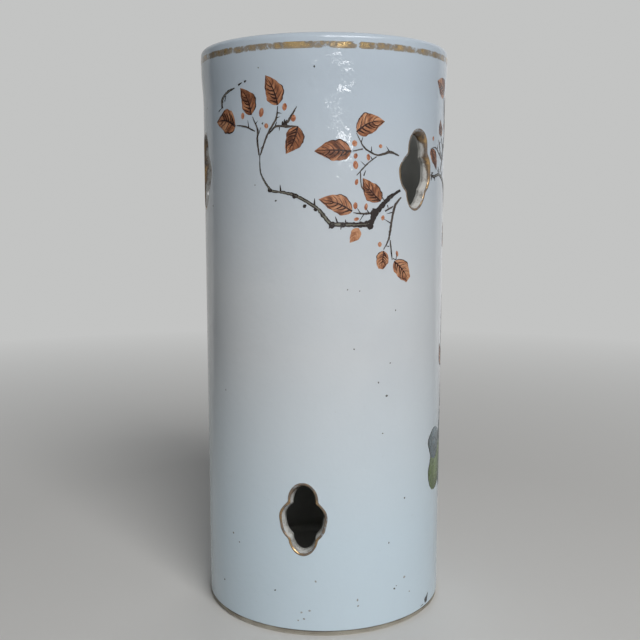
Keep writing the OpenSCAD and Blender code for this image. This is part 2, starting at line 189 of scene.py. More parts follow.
# Buds: middle, width, height, tone
BUDS = [
    ((-88, 24), 2, 3, 0.15), ((-77.5, 25), 2.4, 4.2, 0.55), ((-75, 19), 2, 2.4, 0.4),
    ((-66, 27), 2.2, 3.4, 0.5), ((-62, 22), 2.4, 3.2, 0.6), ((-34.5, 11), 2.4, 2.8, 0.35),
    ((-34, 5.5), 1.8, 2.6, 0.5), ((-28, 5), 1.8, 3, 0.5), ((-34, 1.5), 2.4, 3.8, 0.4),
    ((-33.5, -6), 1.6, 2.8, 0.6), ((-22, 10), 1.8, 1.8, 0.3), ((-34, -16.5), 2, 3.2, 0.45),
    ((-29, -17), 1.6, 3.2, 0.55), ((-33.5, -22.5), 2.4, 1.6, 0.5), ((-20.5, -22), 1.8, 2.4, 0.35),
    ((-22, -34), 2, 2.4, 0.2), ((-12.5, -38.5), 1.4, 2.8, 0.4), ((14, 15), 1.8, 2.2, 0.5),
    ((33.5, 22), 2, 3.2, 0.5), ((46, 12), 2.2, 3.4, 0.4), ((56, 1), 2.2, 3, 0.45),
    ((65, -9), 2, 3.2, 0.5),
]

# Rocks at the foot of the tree, those behind first: ends, width, tone (0 green, 1 blue)
ROCKS = [
    ((-32, 1), (-30.5, 43), 16, 0.85),
    ((-49.5, 4), (-38.5, 28.5), 20.5, 0.0),
    ((-48.2, 19.6), (-44.5, 35.8), 16, 1.0),
    ((-19.5, 0.5), (-18, 22), 14, 0.1),
]

# Iron specks and pits in the glaze: arc from the front, height, radius, tone
SPECKS = [
    (5.6, 264, 0.45, 0.8), (-20.4, 264.5, 0.35, 0.4), (-23.2, 212.8, 0.3, 0.4), (-12.4, 205.7, 0.45, 0.8),
    (-55.7, 203.3, 0.4, 0.6), (23.8, 138.3, 0.35, 0.6), (36, 122, 0.4, 0.7), (40.5, 115.3, 0.6, 0.5),
    (42.3, 130.7, 0.35, 0.6), (38.5, 97.5, 0.35, 0.5), (-44.9, 114.8, 0.35, 0.5), (45.1, 155.3, 0.35, 0.6),
    (20.6, 165.7, 0.3, 0.5), (26.3, 165, 0.3, 0.5), (-39.9, 44.2, 0.5, 0.5), (-35.4, 40.7, 0.4, 0.4),
    (52.1, 63.7, 0.45, 0.8), (42.6, 43.3, 0.4, 0.6), (46.2, 19.4, 0.5, 0.7), (47.4, 20.6, 0.3, 0.4),
    (-14, 21.2, 0.42, 0.8), (-48.5, 17.3, 0.5, 0.7), (49.5, 174, 0.5, 0.6), (6, 27.5, 0.5, 0.1),
    (3.1, 12.8, 0.55, 0.12), (-0.8, 11.7, 0.5, 0.1), (0.4, 8.6, 0.5, 0.2), (-2.4, 7.6, 0.4, 0.1),
    (26.1, 17.4, 0.55, 0.1), (26.4, 14.4, 0.5, 0.15), (52.6, 23.7, 0.7, 0.08), (56.4, 15.2, 0.4, 0.15),
    (110, 150, 0.4, 0.6), (150, 90, 0.45, 0.7), (171, 240, 0.35, 0.5),
    (205, 130, 0.45, 0.6), (238, 60, 0.4, 0.7), (262, 190, 0.4, 0.5), (290, 110, 0.45, 0.7),
    (318, 250, 0.35, 0.6), (190, 30, 0.5, 0.6), (142, 262, 0.35, 0.5),
]

# What is left of the rim's gilding: arc from the front where a stretch ends, how much gold it has
RIM_WEAR = [
    (-88, 0.45), (-40.8, 0.46), (-36.7, 0.56), (-32.4, 0.27), (-28.8, 0.42), (-25.5, 0.27), (-17.2, 0.42),
    (-12.4, 0.27), (-7, 0.5), (4.7, 0.64), (9.6, 0.42), (12.5, 0.32), (23.6, 0.56), (25.5, -0.25),
    (31.6, 0.75), (33, 0.42), (41, 0.6), (52.5, 0.48), (56, 0.24), (72, 0.36), (90, 0.48),
    (112, 0.45), (128, 0.1), (156, 0.55), (164, 0.15), (196, 0.5), (214, 0.05), (236, 0.5),
    (244, 0.2), (280, 0.55), (292, 0.15),
]


def smooth_step(t):
    t = min(max(t, 0.0), 1.0)
    return t * t * (3 - 2 * t)


def face_r(z):
    """Radius of the wall's outer face at a height."""
    return BODY_R + (RIM_R - BODY_R) * smooth_step((z - FLARE_Z) / (RIM_Z - FLARE_Z))


def outward(turn):
    return Vector((sin(turn), -cos(turn), 0))


def polar(radius, turn, z):
    """A point at a radius, a turn in radians from the front, and a height, in metres."""
    return Vector((radius * sin(turn), -radius * cos(turn), z)) * MM


def on_wall(arc, z, lift):
    return polar(face_r(z) + lift, arc / BODY_R, z)


def wall_normal(arc, z):
    turn = arc / BODY_R
    slope = face_r(z + 0.5) - face_r(z - 0.5)
    return Vector((sin(turn), -cos(turn), -slope)).normalized()


def noise_at(x, y, z):
    return noise.noise(Vector((x, y, z)))


def put(name, data):
    """Adds an object with the given data to the scene."""
    obj = bpy.data.objects.new(name, data)
    bpy.context.scene.collection.objects.link(obj)
    return obj


class Sheet:
    """Vertices, faces and painted values of one piece while it is being made."""

    def __init__(self):
        self.points, self.normals, self.marks = [], [], []
        self.faces, self.slots = [], []

    def add(self, point, normal=None, mark=(0.0, 0.0, 0.0)):
        self.points.append(point)
        self.normals.append(normal)
        self.marks.append(mark)
        return len(self.points) - 1

    def face(self, *corners, slot=0):
        self.faces.append(corners)
        self.slots.append(slot)

    def band(self, a, b, slot=0):
        """Joins two rows of as many points, both closed on themselves."""
        for i in range(len(a)):
            j = (i + 1) % len(a)
            self.face(a[i], a[j], b[j], b[i], slot=slot)

    def piece(self, name, materials, slot, nodes=()):
        mesh = bpy.data.meshes.new(name)
        mesh.from_pydata([tuple(p) for p in self.points], [], self.faces)
        for material in materials:
            mesh.materials.append(material)
        mesh.polygons.foreach_set("material_index", self.slots)
        mesh.polygons.foreach_set("use_smooth", [True] * len(self.faces))
        for index, key in enumerate(("along", "across", "tone")):
            values = [mark[index] for mark in self.marks]
            mesh.attributes.new(key, "FLOAT", "POINT").data.foreach_set("value", values)
        mesh.update()
        plain = [v.normal.copy() for v in mesh.vertices]
        mesh.normals_split_custom_set_from_vertices(
            [tuple(n if n is not None else plain[i]) for i, n in enumerate(self.normals)])
        obj = put(name, mesh)
        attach(obj, "root")
        if nodes:
            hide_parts(*nodes)


class Nodes:
    """The node tree of a material or the world, with short names for what the looks are made of."""

    def __init__(self, owner, out_kind):
        owner.use_nodes = True
        self.tree = owner.node_tree
        self.tree.nodes.clear()
        self.out = self.tree.nodes.new(out_kind)

    def feed(self, socket, value):
        """Links an output to a socket, or sets the socket to a plain value."""
        if isinstance(value, bpy.types.NodeSocket):
            self.tree.links.new(value, socket)
        elif socket.type == "RGBA":
            socket.default_value = (*value, 1.0)
        else:
            socket.default_value = value

    def node(self, kind, inputs=(), **settings):
        made = self.tree.nodes.new(kind)
        for key, value in settings.items():
            setattr(made, key, value)
        for key, value in dict(inputs).items():
            self.feed(made.inputs[key], value)
        return made

    def show(self, shader):
        self.feed(self.out.inputs["Surface"], shader.outputs[0])

    def sums(self, how, values):
        made = values[0]
        for value in values[1:]:
            made = self.node("ShaderNodeMath", {0: made, 1: value}, operation=how).outputs[0]
        return made

    def times(self, *values):
        return self.sums("MULTIPLY", values)

    def plus(self, *values):
        return self.sums("ADD", values)

    def most(self, *values):
        return self.sums("MAXIMUM", values)

    def span(self, value, low, high, to_low=0.0, to_high=1.0):
        """Carries a value from the range low to high over to another range."""
        return self.node("ShaderNodeMapRange", {
            "Value": value, "From Min": low, "From Max": high, "To Min": to_low, "To Max": to_high,
        }).outputs["Result"]

    def ease(self, share, low, high):
        """Goes from low to high while a share goes from 0 to 1."""
        return self.span(share, 0.0, 1.0, low, high)

    def blend(self, factor, a, b):
        return self.node("ShaderNodeMix", {0: factor, 6: a, 7: b}, data_type="RGBA").outputs[2]

    def fade(self, value, low, high, a, b):
        """Turns one colour into another while a value goes from low to high."""
        return self.blend(self.span(value, low, high), a, b)

    def share_along(self, toward, axis):
        made = self.node("ShaderNodeVectorMath", {0: toward, 1: axis}, operation="DOT_PRODUCT")
        return made.outputs["Value"]


class Look(Nodes):
    """A principled material, painted from noise in the object's place and from the marks of its mesh."""

    def __init__(self, name, **constants):
        self.material = bpy.data.materials.new(name)
        super().__init__(self.material, "ShaderNodeOutputMaterial")
        self.shader = self.node("ShaderNodeBsdfPrincipled", constants)
        self.show(self.shader)
        self.at = self.node("ShaderNodeTexCoord").outputs["Object"]

    def height(self):
        return self.node("ShaderNodeSeparateXYZ", {"Vector": self.at}).outputs["Z"]

    def mark(self, key):
        return self.node("ShaderNodeAttribute", attribute_name=key).outputs["Fac"]

    def cloud(self, scale, detail=2.0, rough=0.5, warp=0.0, at=None):
        return self.node("ShaderNodeTexNoise", {
            "Vector": self.at if at is None else at, "Scale": scale, "Detail": detail, "Roughness": rough,
            "Distortion": warp,
        }).outputs["Fac"]

    def paint(self, colour, roughness, *layers):
        """Sets colour, roughness and bump layers, each a height and a distance in millimetres."""
        below = {}
        for height, distance in layers:
            bump = self.node("ShaderNodeBump", {"Height": height, "Distance": distance * MM, **below})
            below = {"Normal": bump.outputs["Normal"]}
        for key, value in {"Base Color": colour, "Roughness": roughness, **below}.items():
            self.feed(self.shader.inputs[key], value)
        return self.material


# Ranges that nearly all, most and the middle values of a noise fall in
WIDE = (0.25, 0.75)
MOST = (0.3, 0.7)
CORE = (0.35, 0.65)

# Colours of the glaze, and the heights in metres where it turns bluer to the foot, and bluer with painted
# shade to the rim
GLAZE_IOR = 1.5
GLAZE = (0.604, 0.638, 0.668)
GLAZE_DEEP = (0.575, 0.612, 0.646)
GLAZE_RIM = (0.468, 0.540, 0.615)
GLAZE_FOOT = (0.578, 0.690, 0.770)
GLAZE_DUST = (0.40, 0.41, 0.40)
CUT_CREAM = (0.60, 0.585, 0.545)
CUT_GRIME = (0.17, 0.155, 0.135)
RIM_BLUE_AND_SHADE = (0.165, 0.250)
FOOT_BLUE = (0.135, 0.045)


def glaze_colour(look):
    """Bluish white, bluer where the glaze lies thick towards the rim and the foot, and darker at the rim as
    painted shade.
    """
    height = look.height()
    body = look.fade(look.cloud(28.0, 3.0), *CORE, GLAZE, GLAZE_DEEP)
    # Painted shade: towards the rim the glaze darkens as well as turning bluer
    body = look.fade(height, *RIM_BLUE_AND_SHADE, body, GLAZE_RIM)
    body = look.fade(height, *FOOT_BLUE, body, GLAZE_FOOT)
    dust = look.span(look.cloud(420.0, 4.0, 0.65), 0.66, 0.78)
    return look.blend(look.times(dust, 0.22), body, GLAZE_DUST)


def ripple(look):
    """The uneven lie of the glaze, shared by everything painted on it."""
    return look.plus(look.cloud(130.0, 1.0), look.times(look.cloud(340.0, 1.0), 0.65)), 0.10


def glaze_bumps(look):
    return ripple(look), (look.cloud(520.0), 0.008)


def bare_glaze(look, cut):
    """Glaze without paint: creamy and speckled with grime where the wall is cut through."""
    cream = look.blend(look.times(cut, 0.8), glaze_colour(look), CUT_CREAM)
    grime = look.span(look.cloud(360.0, 5.0, 0.7, 0.5), 0.50, 0.66)
    return look.blend(look.times(grime, cut, 0.75), cream, CUT_GRIME)


def make_glaze():
    look = Look("glaze", IOR=GLAZE_IOR)
    roughness = look.span(look.cloud(60.0, 3.0), *MOST, 0.035, 0.075)
    return look.paint(bare_glaze(look, look.mark("tone")), roughness, *glaze_bumps(look))


def make_inside():
    """Glaze inside the tube with dusty mottling: white at the mouth, grey below it as painted shade, a
    little paler near the floor.
    """
    look = Look("glaze_inside", IOR=GLAZE_IOR)
    height = look.height()
    dust = look.span(look.cloud(45.0, 5.0, 0.6), *MOST)
    # Painted shade: the inside turns grey below the mouth, a little less so near the floor
    grey = look.fade(height, 0.150, 0.060, (0.47, 0.47, 0.445), (0.50, 0.50, 0.475))
    grey = look.blend(look.times(dust, 0.3), grey, (0.17, 0.165, 0.15))
    colour = look.fade(height, 0.275, 0.235, GLAZE, grey)
    return look.paint(colour, look.ease(dust, 0.30, 0.45), *glaze_bumps(look))


def make_biscuit():
    """Unglazed foot: tan paste, a pale worn standing edge and a dark line just under the glaze."""
    look = Look("biscuit")
    height = look.height()
    grit = look.cloud(900.0, 4.0, 0.7)
    stain = look.span(look.cloud(70.0, 3.0), *CORE)
    paste = look.blend(stain, (0.36, 0.34, 0.285), (0.25, 0.225, 0.185))
    worn = look.span(height, 1.1 * MM, 0.6 * MM)
    paste = look.blend(worn, paste, (0.58, 0.55, 0.48))
    # Darker just under the glaze's edge, more in some places than in others
    dark_under_glaze = look.times(look.span(height, 1.9 * MM, 2.4 * MM), look.ease(stain, 0.15, 0.8))
    paste = look.blend(dark_under_glaze, paste, (0.07, 0.055, 0.04))
    spots = look.times(look.span(grit, 0.62, 0.72), 0.7)
    paste = look.blend(spots, paste, (0.09, 0.075, 0.055))
    return look.paint(paste, look.span(grit, *MOST, 0.75, 0.95), (grit, 0.10))


def make_slip():
    look = Look("slip")
    dust = look.span(look.cloud(60.0, 5.0, 0.6), *MOST)
    colour = look.blend(dust, (0.34, 0.34, 0.32), (0.46, 0.46, 0.43))
    return look.paint(colour, look.ease(dust, 0.35, 0.55), (look.cloud(300.0, 3.0), 0.05))


def make_gilding(name, dull, bright, dark, brown, swing, rub):
    """Worn gold over glaze: the tone of each place says how much is left, as gold or as a brown stain."""
    look = Look(name, IOR=GLAZE_IOR)
    fine = look.cloud(520.0, 5.0, 0.7, 0.6)
    rubbed = look.cloud(150.0, 3.0, 0.6)
    left = look.plus(look.mark("tone"), look.span(fine, *WIDE, -swing, swing))
    left = look.plus(left, look.span(rubbed, *MOST, -rub, rub))
    stain = look.span(left, 0.05, 0.36)
    edge = look.times(look.span(look.mark("along"), 0.38, 0.12), look.span(fine, 0.30, 0.50))
    gold = look.times(look.span(left, 0.46, 0.70), look.ease(edge, 1.0, 0.25))
    leaf = look.fade(rubbed, 0.35, 0.62, dull, bright)
    under = look.fade(fine, *CORE, dark, brown)
    colour = look.blend(look.times(stain, 0.92), bare_glaze(look, look.mark("across")), under)
    look.feed(look.shader.inputs["Metallic"], look.times(gold, 0.8))
    colour = look.blend(gold, colour, leaf)
    return look.paint(colour, look.ease(gold, 0.10, 0.20), ripple(look), (fine, 0.012))


def make_wash(name, pale, mid, dark, speed):
    """Brushed enamel: streaks run out from the midrib, darker towards the edges and with the tone."""
    look = Look(name, IOR=GLAZE_IOR)
    across = look.mark("across")
    tone = look.mark("tone")
    out = look.sums("ABSOLUTE", (across, 0.0))
    sweep = look.sums("SUBTRACT", (look.mark("along"), look.times(out, 0.28)))
    brush = look.node("ShaderNodeCombineXYZ", {
        "X": look.times(sweep, speed), "Y": look.times(across, 0.9), "Z": look.times(tone, 37.0)})
    streak = look.cloud(1.0, 3.0, 0.6, at=brush.outputs["Vector"])
    pool = look.cloud(210.0, 3.0)
    depth = look.plus(look.span(streak, *WIDE, -0.75, 0.8), look.span(pool, *MOST, -0.25, 0.25),
                      look.times(tone, 0.8), look.span(out, 0.82, 1.0, 0.0, 0.16))
    colour = look.fade(depth, 0.0, 0.55, pale, mid)
    colour = look.fade(depth, 0.5, 1.15, colour, dark)
    return look.paint(colour, look.span(pool, *MOST, 0.22, 0.38), ripple(look), (streak, 0.006))


def make_rock_wash():
    """Thin washes of green and grey-blue, darker in rings towards the base."""
    look = Look("rock_wash", IOR=GLAZE_IOR)
    along = look.mark("along")
    pool = look.cloud(160.0, 4.0, 0.6)
    green = look.fade(along, 0.05, 0.55, (0.085, 0.130, 0.020), (0.20, 0.28, 0.12))
    blue = look.fade(along, 0.0, 0.8, (0.10, 0.14, 0.17), (0.24, 0.30, 0.34))
    body = look.blend(look.mark("tone"), green, blue)
    colour = look.blend(look.span(pool, 0.4, 0.7, 0.0, 0.5), body, (0.09, 0.12, 0.11))
    return look.paint(colour, look.span(pool, *MOST, 0.20, 0.36), ripple(look), (pool, 0.01))


def make_line(name, thin, thick):
    """Drawn line: dark where the brush was full, thinner and greyer where it ran dry."""
    look = Look(name, IOR=GLAZE_IOR)
    full = look.plus(look.cloud(380.0, 3.0, 0.6), look.times(look.mark("tone"), 0.5))
    colour = look.fade(full, 0.45, 0.85, thin, thick)
    roughness = look.span(full, 0.4, 0.9, 0.40, 0.24)
    return look.paint(colour, roughness, ripple(look), (look.cloud(800.0), 0.006))


def make_speck():
    """Specks in the glaze, from a faint grey to black iron by their tone."""
    look = Look("iron_speck", IOR=GLAZE_IOR)
    depth = look.plus(look.mark("tone"), look.span(look.cloud(700.0), *MOST, -0.08, 0.08))
    colour = look.fade(depth, 0.0, 0.45, (0.40, 0.42, 0.42), (0.17, 0.172, 0.165))
    colour = look.fade(depth, 0.45, 0.95, colour, (0.022, 0.022, 0.024))
    return look.paint(colour, look.ease(depth, 0.12, 0.30), ripple(look))


glaze = make_glaze()
inside = make_inside()
biscuit = make_biscuit()
slip = make_slip()
rim_gold = make_gilding("rim_gold", (0.46, 0.33, 0.17), (0.70, 0.50, 0.25), (0.14, 0.105, 0.07),
                        (0.29, 0.24, 0.17), 0.35, 0.3)
vent_gold = make_gilding("vent_gold", (0.29, 0.185, 0.095), (0.55, 0.365, 0.175), (0.065, 0.042, 0.026),
                         (0.205, 0.138, 0.085), 0.25, 0.18)
leaf_wash = make_wash("leaf_wash", (0.53, 0.275, 0.150), (0.31, 0.122, 0.056), (0.085, 0.027, 0.011), 7.0)
bud_wash = make_wash("bud_wash", (0.52, 0.27, 0.16), (0.37, 0.135, 0.065), (0.19, 0.055, 0.025), 3.0)
rock_wash = make_rock_wash()
ink = make_line("branch_ink", (0.105, 0.085, 0.070), (0.026, 0.019, 0.017))
vein_ink = make_line("vein_ink", (0.115, 0.036, 0.020), (0.034, 0.0145, 0.011))
rock_ink = make_line("rock_ink", (0.105, 0.115, 0.085), (0.035, 0.038, 0.032))
bark = make_line("bark_grey", (0.205, 0.205, 0.165), (0.075, 0.066, 0.052))
iron = make_speck()


# The tube: a closed revolved skin, opened by six lobed vents with rounded edges
COLUMNS = 216
HALF_COLUMNS = 9
HALF_ROWS = 12
ROW = 2.0
LOOP = 4 * (HALF_COLUMNS + HALF_ROWS) * 2
LIP_STEPS = 20
SOFT_CUSP = 0.3
# Rows at the foot's edge and at the slip that are shaded as they lie, not as a plain wall
EDGE_ROWS = 4
SEAT_ROWS = 3
# Rows at the end of the lip that are glazed as the inside is
INSIDE_ROWS = 2

# Rays to a quarter of a vent's outline, and how far out along each the outline is looked for
RAYS = 60
RAY_FROM = 2.0
RAY_TO = 30.0
HALVINGS = 26


def vent_circles(height, waist):
    """Centre and radius of the side lobe, end lobe and waist circle of a vent's upper right quarter."""
    side = VENT_W / 2 - SIDE_LOBE_R
    end = height / 2 - END_LOBE_R
    d = hypot(side, end)
    along = (SIDE_LOBE_R ** 2 - END_LOBE_R ** 2 + d * d) / (2 * d)
    across = sqrt(SIDE_LOBE_R ** 2 - along * along)
    corner = (side - along * side / d + across * end / d, along * end / d + across * side / d)
    return [(side, 0, SIDE_LOBE_R), (0, end, END_LOBE_R), (0, corner[1], corner[0] - WAIST_CLEAR + waist)]


def vent_edge(x, z, circles, grow):
    """Distance outside the lobed outline, with its inner corners eased."""
    shares = (1, 1, WAIST_TAPER if grow < 0 else 1)
    near = [hypot(x - cx, z - cz) - r - grow * share for (cx, cz, r), share in zip(circles, shares)]
    low = min(near)
    return low - SOFT_CUSP * log(sum(exp((low - d) / SOFT_CUSP) for d in near))


def vent_loop(height, grow, waist):
    """LOOP points round a vent's outline, evenly spaced in each quarter, from the right-hand side."""
    circles = vent_circles(height, waist)
    quarter = []
    for i in range(RAYS + 1):
        a = pi / 2 * i / RAYS
        low, high = RAY_FROM, RAY_TO
        for _ in range(HALVINGS):
            t = (low + high) / 2
            if vent_edge(t * cos(a), t * sin(a), circles, grow) < 0:
                low = t
            else:
                high = t
        quarter.append((low * cos(a), low * sin(a)))
    runs = [0.0]
    for p, q in zip(quarter, quarter[1:]):
        runs.append(runs[-1] + hypot(q[0] - p[0], q[1] - p[1]))
    n = LOOP // 4
    first = []
    k = 0
    for i in range(n):
        want = runs[-1] * i / n
        while runs[k + 1] < want:
            k += 1
        f = (want - runs[k]) / (runs[k + 1] - runs[k])
        p, q = quarter[k], quarter[k + 1]
        first.append((p[0] + (q[0] - p[0]) * f, p[1] + (q[1] - p[1]) * f))
    second = [(0.0, quarter[-1][1])] + [(-x, z) for x, z in reversed(first[1:])]
    return first + second + [(-x, -z) for x, z in first] + [(-x, -z) for x, z in second]


# Waves that the knife left round a vent: depth, number round the vent, share of the vent's own phase
KNIFE_WAVES = [(0.22, 3, 1.0), (0.16, 5, 2.3), (0.08, 9, 1.0)]
KNIFE_PHASE = 1.7
# How the lower end of each vent narrows: by what share, from how far below the centre, over what height
END_NARROW = 0.2
END_FROM = 7
END_RUN = 9


def cut_by_hand(index, height, grow):
    """A vent's outline with the small unevenness of a knife's cut."""
    drop, waist, lean = VENT_CUTS[index]
    seed = index * KNIFE_PHASE
    made = []
    for x, z in vent_loop(height, grow, waist):
        x = x * (1 - END_NARROW * smooth_step((-z - END_FROM) / END_RUN)) + lean * z
        z = z - drop * max(1 - (2 * z / height) ** 2, 0)
        a = atan2(z, x)
        wave = sum(deep * sin(count * a + share * seed) for deep, count, share in KNIFE_WAVES)
        r = hypot(x, z)
        made.append((x * (1 + wave / r), z * (1 + wave / r)))
    return made


def vent_points(turn, z, loop, radius):
    return [(turn + asin(x / radius), z + up) for x, up in loop]


# Steps through the wall at a vent: growth of the outline, depth below the outer face
ARRIS_R = 1.1
ARRIS_OUT = 0.69
ARRIS_TURN = radians(71)
ARRIS_STEPS = 6
REVEAL = [(ARRIS_OUT - ARRIS_R * sin(ARRIS_TURN * i / ARRIS_STEPS),
           ARRIS_R * (1 - cos(ARRIS_TURN * i / ARRIS_STEPS))) for i in range(ARRIS_STEPS + 1)]
REVEAL += [(-0.60, 1.5), (-0.99, 2.65), (-1.40, 3.86), (-1.52, 4.2), (-1.46, 4.43), (-1.15, WALL_T)]
OUTER_RINGS = [2.8, 1.7]
INNER_RINGS = [-0.5, 0.8]
# How far from the widest ring to the grid one more ring lies
RING_SHARE = 0.55
# Steps that are glazed as the outside is
GLAZED_STEPS = 9
GRIME_DEPTH = 0.9


def grimy(depth):
    """How dirty a vent's edge is, from clean at the face to dirty in the wall."""
    return smooth_step(depth / GRIME_DEPTH)


def vent_frame():
    """Grid steps (across, up) round a vent's open cells, from the middle of the right-hand side."""
    c, r = HALF_COLUMNS, HALF_ROWS
    right, left = [(c, i) for i in range(-r, r)], [(-c, i) for i in range(r, -r, -1)]
    top, bottom = [(i, r) for i in range(c, -c, -1)], [(i, -r) for i in range(-c, c)]
    return right[r:] + top + left + bottom + right[:r]


def wall_rows(radius_at, start, stops):
    """Rows (radius, height) from a height through each stop, in the number of steps given with it."""
    rows = []
    for stop, count in stops:
        heights = [start + (stop - start) * i / count for i in range(1, count + 1)]
        rows += [(radius_at(z), z) for z in heights]
        start = stop
    return rows


def tube_rows():
    """Rows (radius, height) up the face, over the lip and down the bore, and the lip's last row."""
    half, through = HALF_ROWS * ROW, 2 * HALF_ROWS
    up = [(LOWER_Z - half, 6), (LOWER_Z + half, through), (UPPER_Z - half, 20), (UPPER_Z + half, through),
          (FLARE_Z, 3), (RIM_Z, 12), (LIP_Z, 3)]
    down = [(UPPER_Z + half, 6), (UPPER_Z - half, through), (LOWER_Z + half, 20), (LOWER_Z - half, through),
            (SLIP_TOP, 4)]
    rows = [(SEAT_R, FOOT_H)] + [(BODY_R - back, FOOT_H + high) for back, high in FOOT_EDGE]
    rows += wall_rows(face_r, rows[-1][1], up)
    for i in range(1, LIP_STEPS + 1):
        a = pi * i / LIP_STEPS
        rows.append((BORE_R + LIP_R + LIP_R * cos(a), LIP_Z + LIP_R * sin(a)))
    lip_end = len(rows) - 1
    rows += wall_rows(lambda z: BORE_R, LIP_Z, down)
    rows += [(SEAT_R, SLIP_TOP), (SEAT_R, SEAT_MID_Z)]
    return rows, lip_end


def build_tube():
    sheet = Sheet()
    rows, lip_end = tube_rows()
    grid = []
    for k, (r, z) in enumerate(rows):
        flat = EDGE_ROWS <= k < len(rows) - SEAT_ROWS and z < FLARE_Z
        line = []
        for i in range(COLUMNS):
            turn = 2 * pi * i / COLUMNS
            normal = outward(turn) * (1 if k <= lip_end else -1) if flat else None
            line.append(sheet.add(polar(r, turn, z), normal))
        grid.append(line)
    heights = [z for _, z in rows]
    centres = {z: (heights.index(z), heights.index(z, lip_end)) for z in (LOWER_Z, UPPER_Z)}
    open_cells = set()
    for _, turn, z, _ in VENTS:
        column = round(turn / 360 * COLUMNS)
        for k in centres[z]:
            for a in range(-HALF_COLUMNS, HALF_COLUMNS):
                open_cells.update((k + b, (column + a) % COLUMNS) for b in range(-HALF_ROWS, HALF_ROWS))
    for k in range(len(rows)):
        after = (k + 1) % len(rows)
        slot = 1 if k >= lip_end - INSIDE_ROWS else 0
        for i in range(COLUMNS):
            if (k, i) in open_cells:
                continue
            j = (i + 1) % COLUMNS
            sheet.face(grid[k][i], grid[k][j], grid[after][j], grid[after][i], slot=slot)
    for index, vent in enumerate(VENTS):
        cut_vent(sheet, grid, centres[vent[2]], index, vent)
    return sheet


def cut_vent(sheet, grid, centre_rows, index, vent):
    """Joins the open cells of the outer and the inner face by the lofted edge of one vent."""
    _, turn_deg, z, height = vent
    turn = radians(turn_deg)
    column = round(turn_deg / 360 * COLUMNS)
    steps = vent_frame()
    column_turn = 2 * pi / COLUMNS
    corners = [(turn + a * column_turn, z + b * ROW) for a, b in steps]
    border = []
    for (t, up), (t2, up2) in zip(corners, corners[1:] + corners[:1]):
        border += [(t, up), ((t + t2) / 2, (up + up2) / 2)]

    def ring(places, radius, way, grime=0.0):
        made = []
        for t, up in places:
            normal = outward(t) * way if way else None
            made.append(sheet.add(polar(radius, t, up), normal, (0.0, 0.0, grime)))
        return made

    def toward_border(places):
        return [(t + (t2 - t) * RING_SHARE, up + (up2 - up) * RING_SHARE)
                for (t, up), (t2, up2) in zip(places, border)]

    ways = [1] + [0] * (len(REVEAL) - 2) + [-1]
    rings = [(grow, 0.0, 1, 0.0) for grow in OUTER_RINGS]
    rings += [(grow, depth, way, grimy(depth)) for (grow, depth), way in zip(REVEAL, ways)]
    rings += [(grow, WALL_T, -1, 0.0) for grow in INNER_RINGS]
    places = [vent_points(turn, z, cut_by_hand(index, height, grow), BODY_R - depth)
              for grow, depth, _, _ in rings]
    loops = [ring(toward_border(places[0]), BODY_R, 1)]
    for spots, (_, depth, way, grime) in zip(places, rings):
        loops.append(ring(spots, BODY_R - depth, way, grime))
    loops.append(ring(toward_border(places[-1]), BORE_R, -1))
    inner_from = 1 + len(OUTER_RINGS) + GLAZED_STEPS
    for k, (a, b) in enumerate(zip(loops, loops[1:])):
        sheet.band(a, b, 1 if k >= inner_from else 0)
    faces = []
    for row, way, loop in zip(centre_rows, (1, -1), (loops[0], loops[-1])):
        faces.append(([grid[row + way * b][(column + a) % COLUMNS] for a, b in steps], loop, way))
    for i in range(LOOP // 2):
        for ids, loop, way in faces:
            p, q = ids[i], ids[(i + 1) % len(ids)]
            u, v, w = loop[2 * i], loop[2 * i + 1], loop[(2 * i + 2) % LOOP]
            for corners in ((p, v, u), (p, q, v), (q, w, v)):
                sheet.face(*corners[::way], slot=0 if way > 0 else 1)


build_tube().piece("tube_glaze", [glaze, inside], "glaze", ["body_tube"])

# Gilding: how far it stands off the glaze, in the middle and at its edges, and how far it sinks in
GILT_LIFT = 0.05
GILT_EDGE = 0.02
GILT_SINK = 0.06
GILT_ROWS = 6
# Stretches of the rim's gilding fade into each other over this length, at places that drift up and down
WEAR_FADE = 1.2
RIM_DRIFT = 1.6
RIM_SWAY = 0.25
RIM_EDGE_WEAR = 0.28
# Past this share of half the way round, the rim's arcs are counted back from the front
BACK_SHARE = 1.3


def gilt_strip(lines):
    """A thin closed strip: lines are rows of (top, bottom, normal, mark) that close on themselves."""
    sheet = Sheet()
    top = [[sheet.add(p, n, m) for p, q, n, m in line] for line in lines]
    low = [[sheet.add(q, n, m) for p, q, n, m in line] for line in lines]
    rows = top + low[::-1]
    for a, b in zip(rows, rows[1:] + rows[:1]):
        sheet.band(a, b)
    return sheet


def rim_tone(arc):
    """How much gold is left at a place round the rim, eased between the stretches."""
    tone = RIM_WEAR[0][1]
    for (stop, before), (_, after) in zip(RIM_WEAR, RIM_WEAR[1:] + RIM_WEAR[:1]):
        tone += (after - before) * smooth_step((arc - stop) / WEAR_FADE + 0.5)
    return tone


